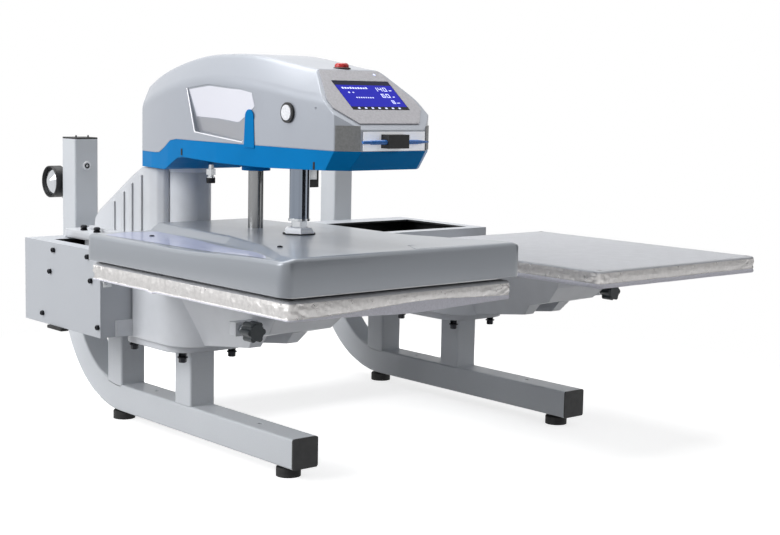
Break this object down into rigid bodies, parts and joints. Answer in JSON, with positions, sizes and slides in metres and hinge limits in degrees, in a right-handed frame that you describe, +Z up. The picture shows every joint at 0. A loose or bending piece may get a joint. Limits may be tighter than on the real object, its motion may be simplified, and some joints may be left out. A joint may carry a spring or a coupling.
{
  "type": "pneumatic heat press",
  "caption": "Shuttle heat press: a head with touch screen, air cylinder and heated platen slides along a rear beam between padded lower platens.",
  "frame": {"origin": "on the floor, at the middle of the machine's box seen from above", "axes": "+X along the shuttle beam to the operator's right, +Y from the operator to the back, +Z up"},
  "size_m": [1.083, 1.062, 0.678],
  "materials": {
    "leg_paint": "satin powder coat, light grey",
    "beam_paint": "satin powder coat, grey",
    "beam_inside": "matt black",
    "black_plastic": "moulded, fine grain",
    "black_rubber": "matt",
    "black_steel": "black oxide",
    "rail_steel": "ground",
    "casting_paint": "painted casting, light grey",
    "platen_alloy": "machined",
    "foam": "closed-cell silicone foam",
    "pad_fabric": "silver coated cloth with a pale elastic hem",
    "head_silver": "silver, pearly",
    "skirt_blue": "gloss blue",
    "bezel_plastic": "fine grain",
    "white_plastic": "gloss",
    "grille_grey": "speckled",
    "screen_glass": "backlit display, opaque",
    "stylus_blue": "gloss",
    "red_plastic": "gloss",
    "chrome": "polished",
    "cylinder_alloy": "anodised",
    "collar_blue": "turned, blue collar below the skirt",
    "white_paint": "white",
    "board_green": "circuit board",
    "valve_black": "valve body with coil",
    "cover_silver": "silver-grey, pearly"
  },
  "bodies": {
    "frame": {"left_leg": "leg_paint", "right_leg": "leg_paint", "front_posts": "leg_paint", "rear_posts": "leg_paint", "leg_end_caps": "black_plastic", "upright_caps": "black_plastic", "rubber_feet": "black_rubber", "beam_tray": "beam_paint", "beam_end_plates": "beam_paint", "beam_screws": "black_steel", "rail_bed": "beam_inside", "shuttle_rails": "rail_steel", "travel_bumpers": "black_rubber", "upright_brackets": "leg_paint", "left_pedestal": "casting_paint", "right_pedestal": "casting_paint", "pedestal_bolts": "black_steel", "left_platen_plate": "platen_alloy", "right_platen_plate": "platen_alloy", "left_pad_foam": "foam", "right_pad_foam": "foam", "left_pad_cover": "pad_fabric", "right_pad_cover": "pad_fabric", "regulator_body": "cylinder_alloy", "pressure_gauge": "black_plastic"},
    "carriage": {"bearing_blocks": "rail_steel", "carriage_plate": "platen_alloy", "gusset_casting": "casting_paint", "column": "casting_paint", "column_ring": "white_paint", "deck_bolts": "black_steel", "head_skirt": "skirt_blue", "head_shell": "head_silver", "head_spine": "black_steel", "front_plate": "white_plastic", "corner_grilles": "grille_grey", "screen_bezel": "bezel_plastic", "touch_screen": "screen_glass", "stylus_clip": "black_plastic", "button_rings": "black_plastic", "air_cylinder": "cylinder_alloy", "guide_bush": "collar_blue", "stop_bolt": "chrome", "proximity_sensor": "black_plastic", "control_board": "board_green", "air_valve": "valve_black", "rear_panel": "black_plastic"},
    "platen": {"piston_rod": "chrome", "rod_flange": "white_paint", "guide_rod": "rail_steel", "heat_platen": "platen_alloy", "platen_cover": "cover_silver"},
    "left_start_button": {"left_start_button": "white_plastic"},
    "right_start_button": {"right_start_button": "white_plastic"},
    "stop_button": {"stop_button": "red_plastic"},
    "power_switch": {"power_switch": "black_plastic"},
    "stylus": {"stylus": "stylus_blue"},
    "regulator_knob": {"regulator_knob": "black_plastic"},
    "left_clamp_knob": {"left_clamp_knob": "black_plastic"},
    "right_clamp_knob": {"right_clamp_knob": "black_plastic"}
  },
  "joints": [
    {"name": "carriage_slide", "type": "slide", "parent": "frame", "child": "carriage", "axis": [1, 0, 0], "range_m": [0, 0.638]},
    {"name": "press_lift", "type": "slide", "parent": "carriage", "child": "platen", "axis": [0, 0, 1], "range_m": [0, 0.055]},
    {"name": "left_start_press", "type": "slide", "parent": "carriage", "child": "left_start_button", "axis": [1, 0, 0], "range_m": [0, 0.003], "stiffness_N_per_m": 900},
    {"name": "right_start_press", "type": "slide", "parent": "carriage", "child": "right_start_button", "axis": [-1, 0, 0], "range_m": [0, 0.003], "stiffness_N_per_m": 900},
    {"name": "stop_press", "type": "slide", "parent": "carriage", "child": "stop_button", "axis": [0, 0, -1], "range_m": [0, 0.004], "stiffness_N_per_m": 900},
    {"name": "switch_rock", "type": "hinge", "parent": "carriage", "child": "power_switch", "pos_m": [-0.2885, 0.106, 0.569], "axis": [1, 0, 0], "range_deg": [0, 12]},
    {"name": "stylus_pull", "type": "slide", "parent": "carriage", "child": "stylus", "axis": [-1, 0, 0], "range_m": [0, 0.08]},
    {"name": "regulator_turn", "type": "hinge", "parent": "frame", "child": "regulator_knob", "pos_m": [-0.2955, 0.4914, 0.47], "axis": [0, 0, 1], "continuous": true},
    {"name": "left_knob_turn", "type": "hinge", "parent": "frame", "child": "left_clamp_knob", "pos_m": [-0.4115, -0.26, 0.251], "axis": [0, 1, 0], "continuous": true},
    {"name": "right_knob_turn", "type": "hinge", "parent": "frame", "child": "right_clamp_knob", "pos_m": [0.4265, -0.26, 0.251], "axis": [0, 1, 0], "continuous": true}
  ]
}
